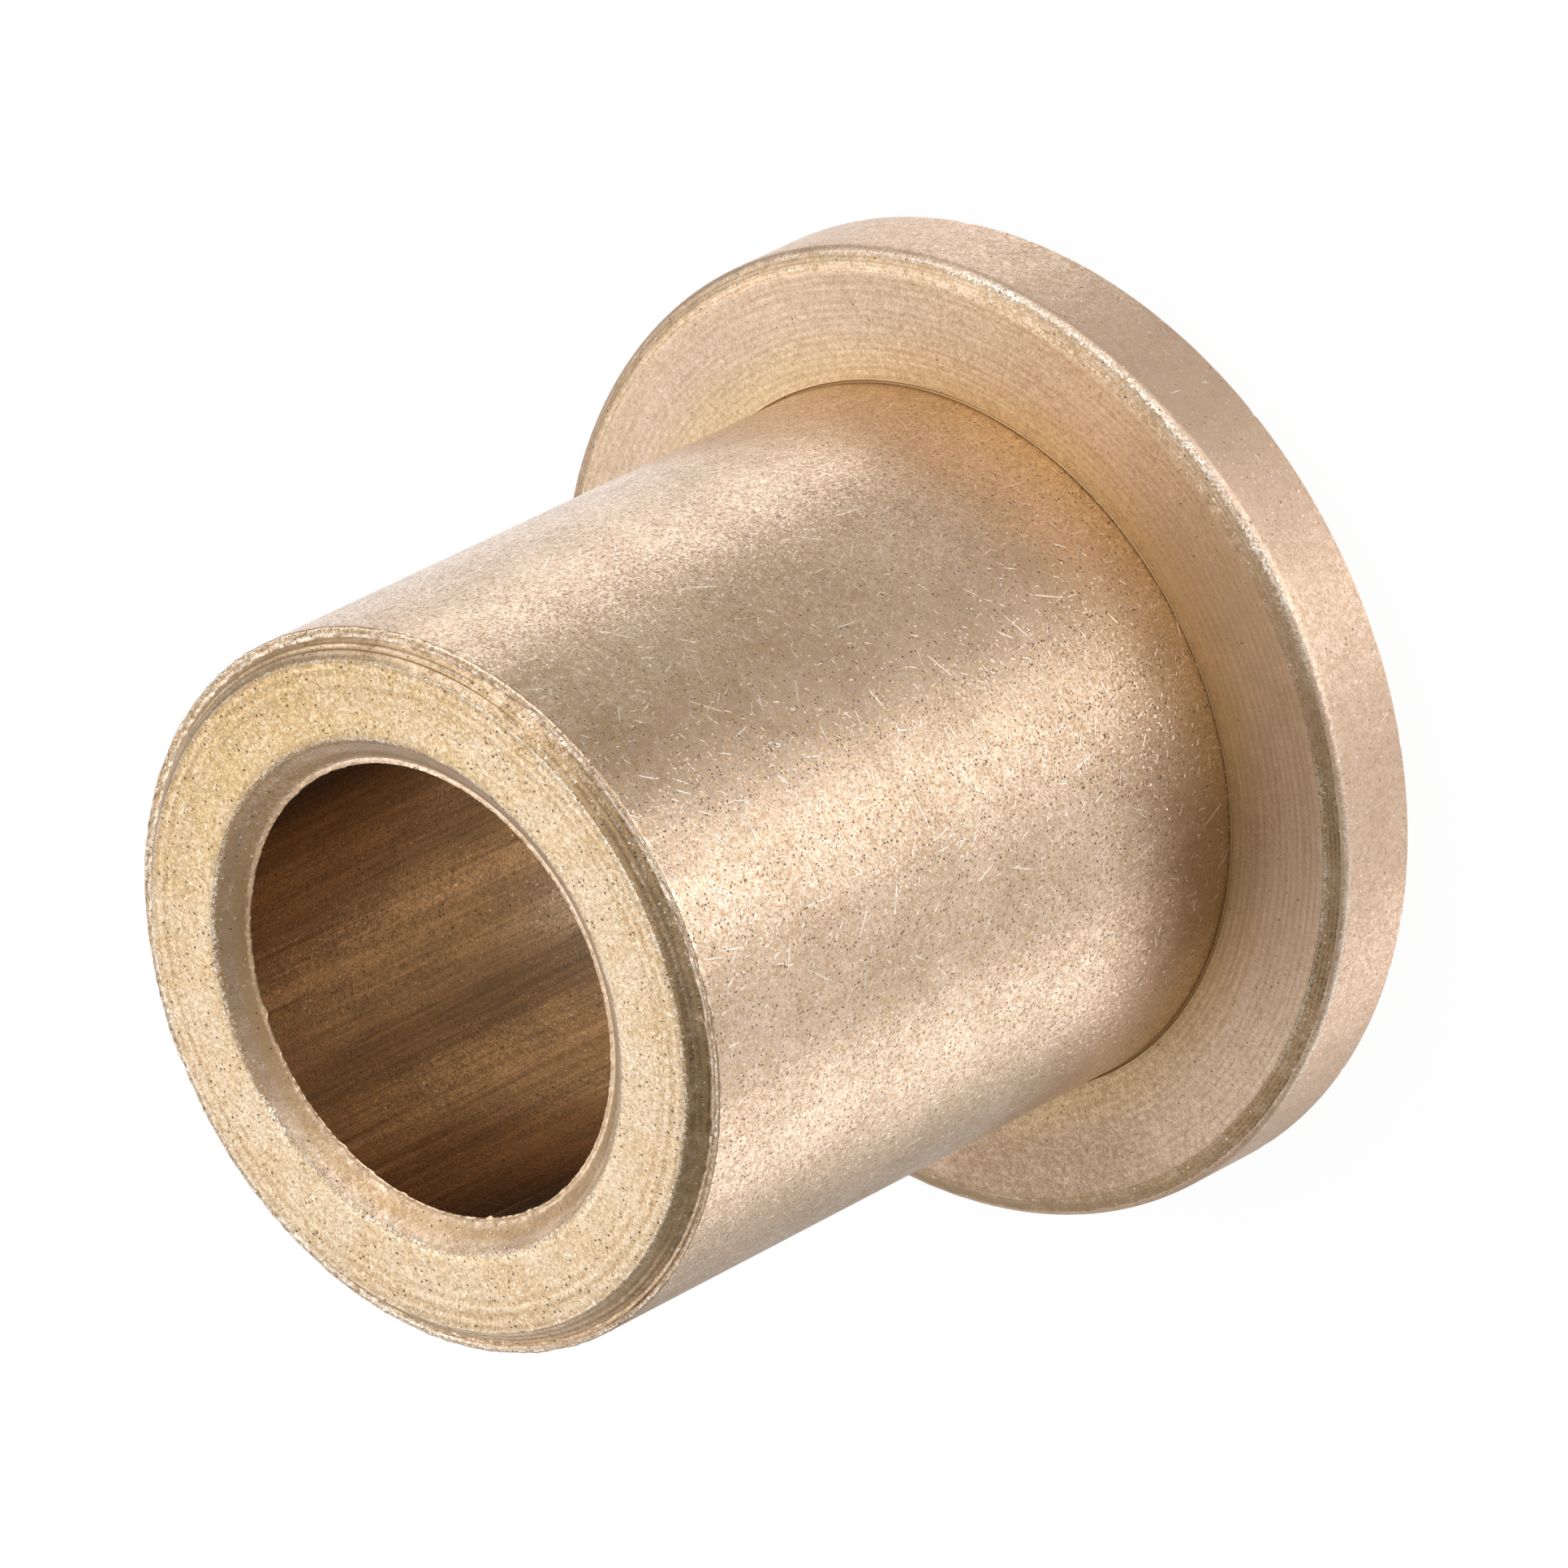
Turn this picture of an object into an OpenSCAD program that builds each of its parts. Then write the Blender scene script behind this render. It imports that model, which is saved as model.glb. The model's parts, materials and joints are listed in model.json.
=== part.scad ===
// Flanged plain bushing, pressed from bronze powder, sintered and sized as one piece.
// It stands on the flange's back face, and +Z runs along the bore to the sleeve's tip.
// The whole form is one half section, turned about Z: at each rim the press tool leaves a
// chamfer that stops at a narrow flat land, because a tool can't end in a knife edge.

/* [Bore and sleeve] */
// Diameter of the bore, which runs on the shaft
bore_d = 10; // [4:0.5:12.5]
// Outside diameter of the sleeve, which presses into the housing
sleeve_d = 16; // [14:0.5:19]
// Length over all, from the flange's back face to the sleeve's tip
length = 20; // [6:0.5:60]

/* [Flange] */
// Outside diameter of the flange
flange_d = 22; // [20:0.5:40]
// Thickness of the flange
flange_t = 3; // [1.5:0.25:10]
// Radius left in the corner between the sleeve and the flange
corner_r = 0.05; // [0.05:0.05:0.5]

/* [Bore ends] */
// Radial width of the chamfer at each end of the bore
bore_chamfer_w = 0.53; // [0.1:0.01:1]
// Depth of the chamfer at each end of the bore
bore_chamfer_h = 0.43; // [0.1:0.01:1]
// Radial width of the flat land between that chamfer and the bore
bore_land = 0.13; // [0.05:0.01:0.4]

/* [Sleeve tip] */
// Radial width of the lead-in chamfer
tip_chamfer_w = 0.35; // [0.1:0.01:1]
// Height of the lead-in chamfer
tip_chamfer_h = 0.4; // [0.1:0.01:2]
// Radial width of the flat land outside the lead-in chamfer
tip_land = 0.23; // [0.05:0.01:0.5]

/* [Flange rim] */
// Radial width of the bevel on the sleeve's side of the flange
front_bevel_w = 0.43; // [0.2:0.01:1]
// Slope of that bevel, measured from the flange's face in degrees
front_bevel_angle = 26; // [10:1:45]
// Radius of the round between that bevel and the rim
rim_r = 0.23; // [0.05:0.01:0.25]
// Radial width of the chamfer on the flange's back
back_chamfer_w = 0.65; // [0.1:0.01:1.5]
// Height of the chamfer on the flange's back
back_chamfer_h = 0.71; // [0.1:0.01:1]
// Radial width of the flat land outside the back chamfer
back_land = 0.13; // [0.05:0.01:0.5]

/* [Hidden] */
bronze = [0.76, 0.62, 0.48];
// Flats in the preview of one turn of the body, and in a round of the section
turn_steps = 180;
round_steps = 48;
bore_r = bore_d / 2;
sleeve_r = sleeve_d / 2;
flange_r = flange_d / 2;

// Where the bevel's slope would meet the rim if nothing were rounded
bevel_drop = front_bevel_w * tan(front_bevel_angle);
rim_corner_z = flange_t - bevel_drop;
// The rim's round is tangent to the bevel and to the rim, so it starts this far from the
// corner on each of them
rim_tangent = rim_r * tan((90 - front_bevel_angle) / 2);
rim_centre = [flange_r - rim_r, rim_corner_z - rim_tangent];

// Points up the bore's wall at one end: the land's two edges and the chamfer's outer edge
function bore_end(face_z, inward) = [
    [bore_r, face_z + inward * bore_chamfer_h],
    [bore_r + bore_land, face_z + inward * bore_chamfer_h],
    [bore_r + bore_land + bore_chamfer_w, face_z]
];

function reversed(points) = [for (i = [len(points) - 1 : -1 : 0]) points[i]];

// The section's corners in order, from the bore's lower end round the outside to its upper end
function outline() = concat(
    bore_end(0, 1),
    [
        [flange_r - back_land - back_chamfer_w, 0],
        [flange_r - back_land, back_chamfer_h],
        [flange_r, back_chamfer_h],
        [flange_r, rim_centre[1]],
        [
            flange_r - rim_tangent * cos(front_bevel_angle),
            rim_corner_z + rim_tangent * sin(front_bevel_angle)
        ],
        [flange_r - front_bevel_w, flange_t],
        [sleeve_r + corner_r, flange_t],
        [sleeve_r, flange_t + corner_r],
        [sleeve_r, length - tip_chamfer_h],
        [sleeve_r - tip_land, length - tip_chamfer_h],
        [sleeve_r - tip_land - tip_chamfer_w, length]
    ],
    reversed(bore_end(length, -1))
);

module half_section() {
    difference() {
        union() {
            polygon(outline());
            translate(rim_centre) circle(r = rim_r, $fn = round_steps);
        }
        translate([sleeve_r + corner_r, flange_t + corner_r])
            circle(r = corner_r, $fn = round_steps);
    }
}

module flanged_bushing() {
    color(bronze)
        rotate_extrude($fn = turn_steps) half_section();
}

flanged_bushing();
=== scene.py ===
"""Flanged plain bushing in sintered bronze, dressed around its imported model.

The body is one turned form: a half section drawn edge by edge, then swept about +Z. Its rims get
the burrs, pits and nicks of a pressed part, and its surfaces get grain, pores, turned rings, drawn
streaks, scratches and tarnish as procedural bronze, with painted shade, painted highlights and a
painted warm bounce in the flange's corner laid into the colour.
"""

import json
import math
import random

import bpy
from mathutils import Euler, Matrix, Vector, noise

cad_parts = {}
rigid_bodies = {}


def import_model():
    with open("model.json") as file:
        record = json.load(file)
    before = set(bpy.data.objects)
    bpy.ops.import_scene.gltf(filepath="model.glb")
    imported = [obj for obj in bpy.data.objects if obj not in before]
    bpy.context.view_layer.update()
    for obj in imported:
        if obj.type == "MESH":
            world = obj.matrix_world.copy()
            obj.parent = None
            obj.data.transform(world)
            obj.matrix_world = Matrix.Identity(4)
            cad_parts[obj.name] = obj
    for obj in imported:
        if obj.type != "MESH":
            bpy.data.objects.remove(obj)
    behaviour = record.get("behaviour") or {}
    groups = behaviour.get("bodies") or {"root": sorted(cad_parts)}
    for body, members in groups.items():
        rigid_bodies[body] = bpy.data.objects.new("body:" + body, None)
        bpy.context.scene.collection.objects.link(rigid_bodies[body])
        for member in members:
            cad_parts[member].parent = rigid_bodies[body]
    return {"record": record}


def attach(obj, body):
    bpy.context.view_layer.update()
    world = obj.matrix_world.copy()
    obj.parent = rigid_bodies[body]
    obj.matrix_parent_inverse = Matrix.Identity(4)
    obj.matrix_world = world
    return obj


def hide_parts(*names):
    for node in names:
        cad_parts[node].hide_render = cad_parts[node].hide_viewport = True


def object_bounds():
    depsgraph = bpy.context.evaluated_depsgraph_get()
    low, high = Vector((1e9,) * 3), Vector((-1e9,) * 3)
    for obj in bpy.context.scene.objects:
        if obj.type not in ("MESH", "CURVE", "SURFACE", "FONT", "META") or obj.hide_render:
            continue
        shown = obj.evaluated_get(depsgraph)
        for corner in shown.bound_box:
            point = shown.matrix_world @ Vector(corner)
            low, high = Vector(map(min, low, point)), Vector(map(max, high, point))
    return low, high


bl_info = {
    "name": "Flanged Bushing",
    "version": (1, 0, 0),
    "blender": (4, 5, 0),
    "location": "View3D > Sidebar > Bushing",
    "description": "Builds a flanged sintered-bronze bushing and its studio",
    "category": "Add Mesh",
}

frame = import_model()
CAD_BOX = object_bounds()

MM = 0.001
NODE = "flanged_bushing"
PIECE = "bushing_body"


def mount(name):
    """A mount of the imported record, by its name."""
    return next(m for m in frame["record"]["mounts"] if m["name"] == name)


BORE_R = mount("bore")["dims"]["r_mm"] * MM
SLEEVE_R = mount("sleeve")["dims"]["r_mm"] * MM
FLANGE_R = (CAD_BOX[1][0] - CAD_BOX[0][0]) / 2
LENGTH = CAD_BOX[1][2] - CAD_BOX[0][2]
FLANGE_T = mount("flange_seat")["pos_m"][2]

# Chamfers, lands and rounds of the rims, in millimetres: widths run along the radius, heights
# along the bore
BORE_CHAMFER_W, BORE_CHAMFER_H, BORE_LAND = 0.53, 0.43, 0.13
TIP_CHAMFER_W, TIP_CHAMFER_H, TIP_LAND = 0.35, 0.40, 0.23
BACK_CHAMFER_W, BACK_CHAMFER_H, BACK_LAND = 0.65, 0.71, 0.13
FRONT_BEVEL_W, FRONT_BEVEL_ANGLE, RIM_ROUND = 0.43, 26.0, 0.23
BEVEL_BLEND = 0.07
CORNER_CUT = 0.06
TIP_ROUND = 0.04
FACE_ROUND = 0.05
BORE_ROUND = 0.02
# Points of the outline that are closer than this, in millimetres, are taken as one
CLOSEST_POINTS = 0.004
# Edges that turn by more than this many degrees are drawn sharp
SHARP_ANGLE = 28


# Sizes and colours that a user would change

class BushingSizes(bpy.types.PropertyGroup):
    """Sizes of the turned body."""

    bore_r: bpy.props.FloatProperty(
        name="Bore radius", description="Radius of the running bore",
        default=BORE_R, min=0.001, unit="LENGTH")
    sleeve_r: bpy.props.FloatProperty(
        name="Sleeve radius", description="Outside radius of the sleeve",
        default=SLEEVE_R, min=0.001, unit="LENGTH")
    flange_r: bpy.props.FloatProperty(
        name="Flange radius", description="Outside radius of the flange",
        default=FLANGE_R, min=0.001, unit="LENGTH")
    flange_t: bpy.props.FloatProperty(
        name="Flange thickness", description="Thickness of the flange",
        default=FLANGE_T, min=0.0005, unit="LENGTH")
    length: bpy.props.FloatProperty(
        name="Length", description="Length over all",
        default=LENGTH, min=0.002, unit="LENGTH")
    around: bpy.props.IntProperty(
        name="Steps around", description="Faces in one turn of the body",
        default=720, min=90, max=900)
    wear: bpy.props.FloatProperty(
        name="Edge wear", description="How ragged and nicked the rims are",
        default=1.0, min=0.0, max=3.0, subtype="FACTOR")


def colour(name, description, default):
    """A colour property with its alpha."""
    return bpy.props.FloatVectorProperty(
        name=name, description=description, default=(*default, 1.0),
        size=4, min=0.0, max=1.0, subtype="COLOR")


class BronzeLook(bpy.types.PropertyGroup):
    """Colours and gloss of the bronze."""

    sleeve: colour("Sleeve bronze", "Pale bronze of the sized outside", (0.805, 0.615, 0.47))
    rim: colour("Rim bronze", "Pinkish bronze of the flange's rim", (0.72, 0.525, 0.395))
    face: colour("Face bronze", "Golden bronze of the pressed faces", (0.82, 0.66, 0.475))
    turned: colour("Turned bronze", "Bronze of the flange's turned face", (0.64, 0.49, 0.365))
    cut: colour("Cut bronze", "Bronze of the chamfers", (0.78, 0.605, 0.435))
    land: colour("Land bronze", "Pale burnished bronze of the lands", (0.90, 0.78, 0.65))
    bore: colour("Bore bronze", "Oil-dark bronze of the bore", (0.66, 0.46, 0.275))
    tarnish: colour("Tarnish", "Grey-brown film on handled bronze", (0.38, 0.262, 0.18))
    open_grain: colour("Open grain", "Golden brown between burnished grains", (0.44, 0.28, 0.13))
    # Golden oil on the pressed faces; in the flange's corner it is painted warm light bounced
    # between sleeve and flange
    oil_and_painted_bounce: colour("Oil", "Golden oil in the corner of the flange", (0.68, 0.49, 0.25))
    pore: colour("Pore", "Oil-dark mouth of a pore", (0.10, 0.07, 0.045))
    # Also the colour of rubbed rims and scratches, and of the painted highlights on two rims
    fleck_and_edge_highlight: colour("Fleck", "Bright grain pressed flat", (0.95, 0.88, 0.76))
    # Painted highlight: the brighter, warmer bronze laid on patches that catch more light
    painted_highlight_tone: colour("Polished bronze", "Warm bronze where a surface is rubbed", (0.95, 0.74, 0.57))
    dulling: bpy.props.FloatProperty(
        name="Dulling", description="Roughness added to every surface",
        default=0.0, min=-0.2, max=0.4, subtype="FACTOR")


CLASSES = [BushingSizes, BronzeLook]


def sizes():
    """The sizes that the panel holds."""
    return bpy.context.scene.bushing_sizes


def look():
    """The colours and the gloss that the panel holds."""
    return bpy.context.scene.bronze_look


# Modelling helpers

def deselect_all():
    for thing in bpy.context.view_layer.objects:
        thing.select_set(False)


def arc(centre, radius, start, end, steps):
    """Points of a round edge, from one angle to the other in degrees, in the section's plane."""
    points = []
    for i in range(steps + 1):
        angle = math.radians(start + (end - start) * i / steps)
        points.append((centre[0] + radius * math.cos(angle), centre[1] + radius * math.sin(angle)))
    return points


def line(start, end, steps):
    """Points along a straight stretch, its start and end included."""
    return [
        (start[0] + (end[0] - start[0]) * i / steps, start[1] + (end[1] - start[1]) * i / steps)
        for i in range(steps + 1)
    ]


def half_section(s):
    """The section's outline in the plane of radius and height, in millimetres.

    Returns its points and, for each, the name of the stretch that ends there.
    """
    bore, sleeve, flange = s.bore_r / MM, s.sleeve_r / MM, s.flange_r / MM
    thick, length = s.flange_t / MM, s.length / MM
    land_rim = bore + BORE_LAND
    bore_rim = land_rim + BORE_CHAMFER_W
    slope = math.radians(FRONT_BEVEL_ANGLE)
    bevel_foot = thick - FRONT_BEVEL_W * math.tan(slope)
    tangent = RIM_ROUND * math.tan((math.pi / 2 - slope) / 2)
    round_centre = (flange - RIM_ROUND, bevel_foot - tangent)
    bevel_end = (flange - tangent * math.cos(slope), bevel_foot + tangent * math.sin(slope))
    bevel_top = flange - FRONT_BEVEL_W
    bevel_blend_z = thick - BEVEL_BLEND * math.tan(slope)
    blend_end = bevel_top - BEVEL_BLEND
    back_rim = flange - BACK_LAND
    tip = length - TIP_CHAMFER_H
    tip_inner = sleeve - TIP_LAND
    face_rim = tip_inner - TIP_CHAMFER_W
    mouth = length - BORE_CHAMFER_H
    stretches = [
        ("back land", line((bore, BORE_CHAMFER_H), (land_rim, BORE_CHAMFER_H), 3)),
        ("back bore chamfer", line((land_rim, BORE_CHAMFER_H), (bore_rim, 0), 5)),
        ("back face", line((bore_rim, 0), (back_rim - BACK_CHAMFER_W, 0), 4)),
        ("back chamfer", line((back_rim - BACK_CHAMFER_W, 0), (back_rim, BACK_CHAMFER_H), 6)),
        ("back chamfer", line((back_rim, BACK_CHAMFER_H), (flange - TIP_ROUND, BACK_CHAMFER_H), 2)),
        ("rim", line((flange, BACK_CHAMFER_H + TIP_ROUND), (flange, round_centre[1]), 4)),
        ("rim", arc(round_centre, RIM_ROUND, 0, 90 - FRONT_BEVEL_ANGLE, 8)),
        ("bevel", line(bevel_end, (bevel_top + BEVEL_BLEND, bevel_blend_z), 5)),
        ("bevel", line((bevel_top, thick - 0.3 * BEVEL_BLEND), (blend_end, thick), 2)),
        ("flange face", line((blend_end - BEVEL_BLEND, thick), (sleeve + CORNER_CUT, thick), 8)),
        ("corner", line((sleeve + CORNER_CUT / 2, thick - CORNER_CUT / 2), (sleeve, thick), 1)),
        ("sleeve", line((sleeve, thick + CORNER_CUT), (sleeve, tip - 3 * TIP_ROUND), 10)),
        ("sleeve", arc((sleeve - TIP_ROUND, tip - TIP_ROUND), TIP_ROUND, 0, 90, 4)),
        ("tip land", line((sleeve - TIP_ROUND, tip), (tip_inner, tip), 10)),
        ("tip chamfer", line((tip_inner, tip), (face_rim, length - FACE_ROUND), 13)),
        ("end face", line((face_rim - FACE_ROUND / 2, length), (bore_rim + FACE_ROUND, length), 9)),
        ("end chamfer", line((bore_rim, length - FACE_ROUND / 2), (land_rim, mouth), 10)),
        ("end land", line((land_rim, mouth), (bore + BORE_ROUND, mouth), 4)),
        ("bore wall", line((bore, mouth - BORE_ROUND), (bore, BORE_CHAMFER_H + 0.1), 12)),
    ]
    outline, names = [], []
    for name, points in stretches:
        for point in points:
            if not outline or math.dist(point, outline[-1]) > CLOSEST_POINTS:
                outline.append(point)
                names.append(name)
    return outline, names


class BUSHING_OT_turn_body(bpy.types.Operator):
    """Draw the half section edge by edge and sweep it round into the body"""

    bl_idname = "bushing.turn_body"
    bl_label = "Turn Body"

    def execute(self, context):
        s = sizes()
        outline = half_section(s)[0]
        deselect_all()
        bpy.ops.mesh.primitive_plane_add(size=MM, location=(0, 0, 0))
        body = context.active_object
        body.name = body.data.name = PIECE
        bpy.ops.object.mode_set(mode="EDIT")
        bpy.ops.mesh.select_all(action="SELECT")
        bpy.ops.mesh.merge(type="CENTER")
        bpy.ops.transform.translate(value=(outline[0][0] * MM, 0, outline[0][1] * MM))
        for here, there in zip(outline, outline[1:]):
            step = ((there[0] - here[0]) * MM, 0, (there[1] - here[1]) * MM)
            bpy.ops.mesh.extrude_region_move(TRANSFORM_OT_translate={"value": step})
        bpy.ops.object.mode_set(mode="OBJECT")
        ends = (0, len(body.data.vertices) - 1)
        for vertex in body.data.vertices:
            vertex.select = vertex.index in ends
        bpy.ops.object.mode_set(mode="EDIT")
        bpy.ops.mesh.edge_face_add()
        bpy.ops.object.mode_set(mode="OBJECT")
        turn = body.modifiers.new("turn", "SCREW")
        turn.axis = "Z"
        turn.angle = math.tau
        turn.steps = turn.render_steps = s.around
        turn.use_merge_vertices = True
        turn.merge_threshold = 0.001 * MM
        bpy.ops.object.modifier_apply(modifier="turn")
        bpy.ops.object.mode_set(mode="EDIT")
        bpy.ops.mesh.select_all(action="SELECT")
        bpy.ops.mesh.normals_make_consistent(inside=False)
        bpy.ops.object.mode_set(mode="OBJECT")
        if len(body.data.vertices) != len(outline) * s.around:
            raise RuntimeError(f"the turn left {len(body.data.vertices)} points")
        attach(body, "root")
        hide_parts(NODE)
        return {"FINISHED"}


CLASSES.append(BUSHING_OT_turn_body)


def rumble(place, size, seed):
    """Smooth noise between about -1 and 1, with lumps of a size in millimetres."""
    return noise.noise(place / size + Vector((seed, 0.37 * seed, 0)))


def bell(value, middle, width):
    """1 at the middle and fading to 0 beyond the width."""
    return math.exp(-((value - middle) / width) ** 2)


def facing(height):
    """1 at a rim that faces up, and -1 at one on the flange's back."""
    return 1 if height > 1 else -1


def rims(s):
    """Every worn edge: its radius, height, how far in the wear reaches, and how ragged it is."""
    bore, sleeve, flange = s.bore_r / MM, s.sleeve_r / MM, s.flange_r / MM
    thick, length = s.flange_t / MM, s.length / MM
    tip_inner = sleeve - TIP_LAND
    bore_rim = bore + BORE_LAND + BORE_CHAMFER_W
    bevel_top = flange - FRONT_BEVEL_W
    return [
        (tip_inner - TIP_CHAMFER_W, length, 0.10, 0.030),
        (bore_rim, length, 0.10, 0.034),
        (bore + BORE_LAND, length - BORE_CHAMFER_H, 0.06, 0.016),
        (bore, length - BORE_CHAMFER_H, 0.06, 0.014),
        (tip_inner, length - TIP_CHAMFER_H, 0.05, 0.020),
        (sleeve, length - TIP_CHAMFER_H, 0.09, 0.055),
        (bevel_top, thick, 0.10, 0.024),
        (flange - 0.13, thick - 0.15, 0.16, 0.034),
        (flange, BACK_CHAMFER_H, 0.08, 0.010),
        (flange - BACK_LAND, BACK_CHAMFER_H, 0.06, 0.016),
        (flange - BACK_LAND - BACK_CHAMFER_W, 0, 0.10, 0.024),
        (bore_rim, 0, 0.10, 0.030),
    ]


class BUSHING_OT_wear_rims(bpy.types.Operator):
    """Leave the rims ragged, the lands pitted and the flange nicked, as pressing and handling do"""

    bl_idname = "bushing.wear_rims"
    bl_label = "Wear Rims"

    NICK_SEED = 11
    NICKS_PER_RIM = 26
    # How far down a nick goes for each millimetre that it goes in
    NICK_FALL = 0.7
    # Ridges and, with a minus, grooves that run round the tip: how far in from the sleeve, how
    # high and how wide they are. The land's are cut along a stretch only, from its middle angle
    CHAMFER_LINES = [(0.455, 0.024, 0.022), (0.405, -0.024, 0.022), (0.345, 0.016, 0.020),
                     (0.30, -0.016, 0.020)]
    LAND_LINES = [(0.135, -0.050, 0.020), (0.09, 0.022, 0.018)]
    LAND_CUT, LAND_CUT_REACH = -72, 44
    # Where the chamfer's lines are nearly rubbed away
    CHAMFER_RUBBED, CHAMFER_RUBBED_REACH = -30, 60

    def execute(self, context):
        s = sizes()
        body = bpy.data.objects[PIECE]
        outline, names = half_section(s)
        edges = rims(s)
        near = [
            [(edge, 1 - math.dist(point, edge[:2]) / edge[2]) for edge in edges
             if math.dist(point, edge[:2]) < edge[2]]
            for point in outline
        ]
        nicks = self.nicks(edges)
        for vertex in body.data.vertices:
            row = vertex.index % len(outline)
            radius, height = outline[row]
            place = vertex.co / MM
            around = Vector((place.x, place.y, 0)).normalized()
            out, up = self.shift(names[row], radius, height, place)
            for edge, weight in near[row]:
                ragged_out, ragged_up = self.ragged(edge, around)
                out += weight * ragged_out
                up += weight * ragged_up
            for edge, centre, width, depth in nicks:
                if abs(radius - edge[0]) > width or abs(height - edge[1]) > width:
                    continue
                distance = (place - centre).length / width
                if distance < 1:
                    dent = depth * (1 - distance ** 2) ** 2
                    out -= dent
                    up -= dent * self.NICK_FALL * facing(edge[1])
            moved = around * (radius + out * s.wear) + Vector((0, 0, height + up * s.wear))
            vertex.co = moved * MM
        bpy.context.view_layer.objects.active = body
        body.select_set(True)
        bpy.ops.object.shade_smooth_by_angle(angle=math.radians(SHARP_ANGLE))
        return {"FINISHED"}

    def shift(self, name, radius, height, place):
        """How far a stretch's own marks move a point outwards and upwards."""
        inset = sizes().sleeve_r / MM - radius
        angle = math.degrees(math.atan2(place.x, -place.y))
        if name == "tip land":
            pit = max(0.0, rumble(place, 0.13, 3) + 0.15) * 0.05
            cut = bell(angle, self.LAND_CUT, self.LAND_CUT_REACH)
            return 0.0, cut * self.relief(self.LAND_LINES, inset) - pit * (1 - 0.5 * cut)
        if name == "tip chamfer":
            rubbed = 0.85 * bell(angle, self.CHAMFER_RUBBED, self.CHAMFER_RUBBED_REACH)
            fading = (0.75 + 0.4 * rumble(place, 2.5, 6)) * (1 - rubbed)
            along = self.relief(self.CHAMFER_LINES, inset) * fading
            along += 0.004 * rumble(place, 0.6, 5)
            return along * 0.7, along * 0.7
        if name in ("end land", "back land"):
            return 0.0, -max(0.0, rumble(place, 0.11, 8) + 0.1) * 0.03
        if name == "bevel":
            return 0.0, 0.006 * rumble(place, 0.25, 9)
        if name in ("end face", "back face"):
            return 0.0, -max(0.0, rumble(place, 0.8, 12)) * 0.006 * facing(height)
        return 0.0, 0.0

    def relief(self, lines, inset):
        """How high a set of lines stands at a distance in from the sleeve."""
        return sum(high * bell(inset, middle, width) for middle, high, width in lines)

    def ragged(self, edge, around):
        """How far a rim wanders outwards and upwards at an angle."""
        radius, height, reach, amount = edge
        place = around * radius + Vector((0, 0, height))
        wander = 0.45 * rumble(place, 0.42, 1) + 0.55 * rumble(place, 0.15, 2)
        drop = 0.6 * abs(rumble(place, 0.2, 4))
        return amount * wander, -amount * drop * facing(height)

    def nicks(self, edges):
        """Small dents along the rims: the rim, the place, the width and the depth of each."""
        dice = random.Random(self.NICK_SEED)
        found = []
        for edge in edges:
            for _ in range(self.NICKS_PER_RIM):
                angle = dice.uniform(0, math.tau)
                width = dice.uniform(0.07, 0.17)
                depth = dice.uniform(0.008, 0.026)
                centre = Vector((edge[0] * math.cos(angle), edge[0] * math.sin(angle), edge[1]))
                found.append((edge, centre, width, depth))
        return found


CLASSES.append(BUSHING_OT_wear_rims)


# Material helpers

class Graph:
    """Adds nodes to a tree and joins them, with little to write for each."""

    def __init__(self, tree):
        self.tree = tree

    def feed(self, socket, value):
        if isinstance(value, bpy.types.NodeSocket):
            self.tree.links.new(value, socket)
        else:
            socket.default_value = value

    def add(self, kind, inputs=None, **settings):
        node = self.tree.nodes.new(kind)
        for name, value in settings.items():
            setattr(node, name, value)
        for name, value in (inputs or {}).items():
            self.feed(node.inputs[name], value)
        return node

    def math(self, operation, *values):
        node = self.add("ShaderNodeMath", operation=operation)
        for socket, value in zip(node.inputs, values):
            self.feed(socket, value)
        return node.outputs[0]

    def plus(self, first, second):
        return self.math("ADD", first, second)

    def minus(self, first, second):
        return self.math("SUBTRACT", first, second)

    def times(self, first, second):
        return self.math("MULTIPLY", first, second)

    def vector(self, operation, *values):
        node = self.add("ShaderNodeVectorMath", operation=operation)
        for socket, value in zip(node.inputs, values):
            self.feed(socket, value)
        return node.outputs["Value" if operation in ("DOT_PRODUCT", "LENGTH") else "Vector"]

    def scaled(self, vector, factor):
        inputs = {"Vector": vector, "Scale": factor}
        return self.add("ShaderNodeVectorMath", inputs, operation="SCALE").outputs["Vector"]

    def joined(self, x, y, z):
        return self.add("ShaderNodeCombineXYZ", {"X": x, "Y": y, "Z": z}).outputs[0]

    def split(self, vector):
        return self.add("ShaderNodeSeparateXYZ", {"Vector": vector}).outputs

    def fade(self, value, start, end, low=0.0, high=1.0):
        """A smooth step from low to high while the value goes from start to end."""
        inputs = {"Value": value, "From Min": start, "From Max": end, "To Min": low, "To Max": high}
        node = self.add("ShaderNodeMapRange", inputs, interpolation_type="SMOOTHSTEP")
        return node.outputs["Result"]

    def noise(self, vector, scale=1.0, detail=2.0, rough=0.5):
        inputs = {"Vector": vector, "Scale": scale, "Detail": detail, "Roughness": rough}
        return self.add("ShaderNodeTexNoise", inputs).outputs[0]

    def mix(self, factor, first, second):
        node = self.add("ShaderNodeMix", data_type="RGBA")
        self.feed(node.inputs[0], factor)
        self.feed(node.inputs[6], first)
        self.feed(node.inputs[7], second)
        return node.outputs[2]

    def use(self, name, **inputs):
        """Places one of the shared groups, its inputs given by name."""
        node = self.add("ShaderNodeGroup", node_tree=bpy.data.node_groups[name])
        for key, value in inputs.items():
            self.feed(node.inputs[key.replace("_", " ")], value)
        return node.outputs


KINDS = {"vector": "NodeSocketVector", "value": "NodeSocketFloat"}

# How far a scratch bends off its line, for each square millimetre along it
SCRATCH_BOW = 0.08
# How close the finest turned grooves are, in millimetres, and how strongly a groove leans the
# surface before a finish scales it
GROOVE_PITCH = 0.040
LINE_LEAN = 4.0


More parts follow.
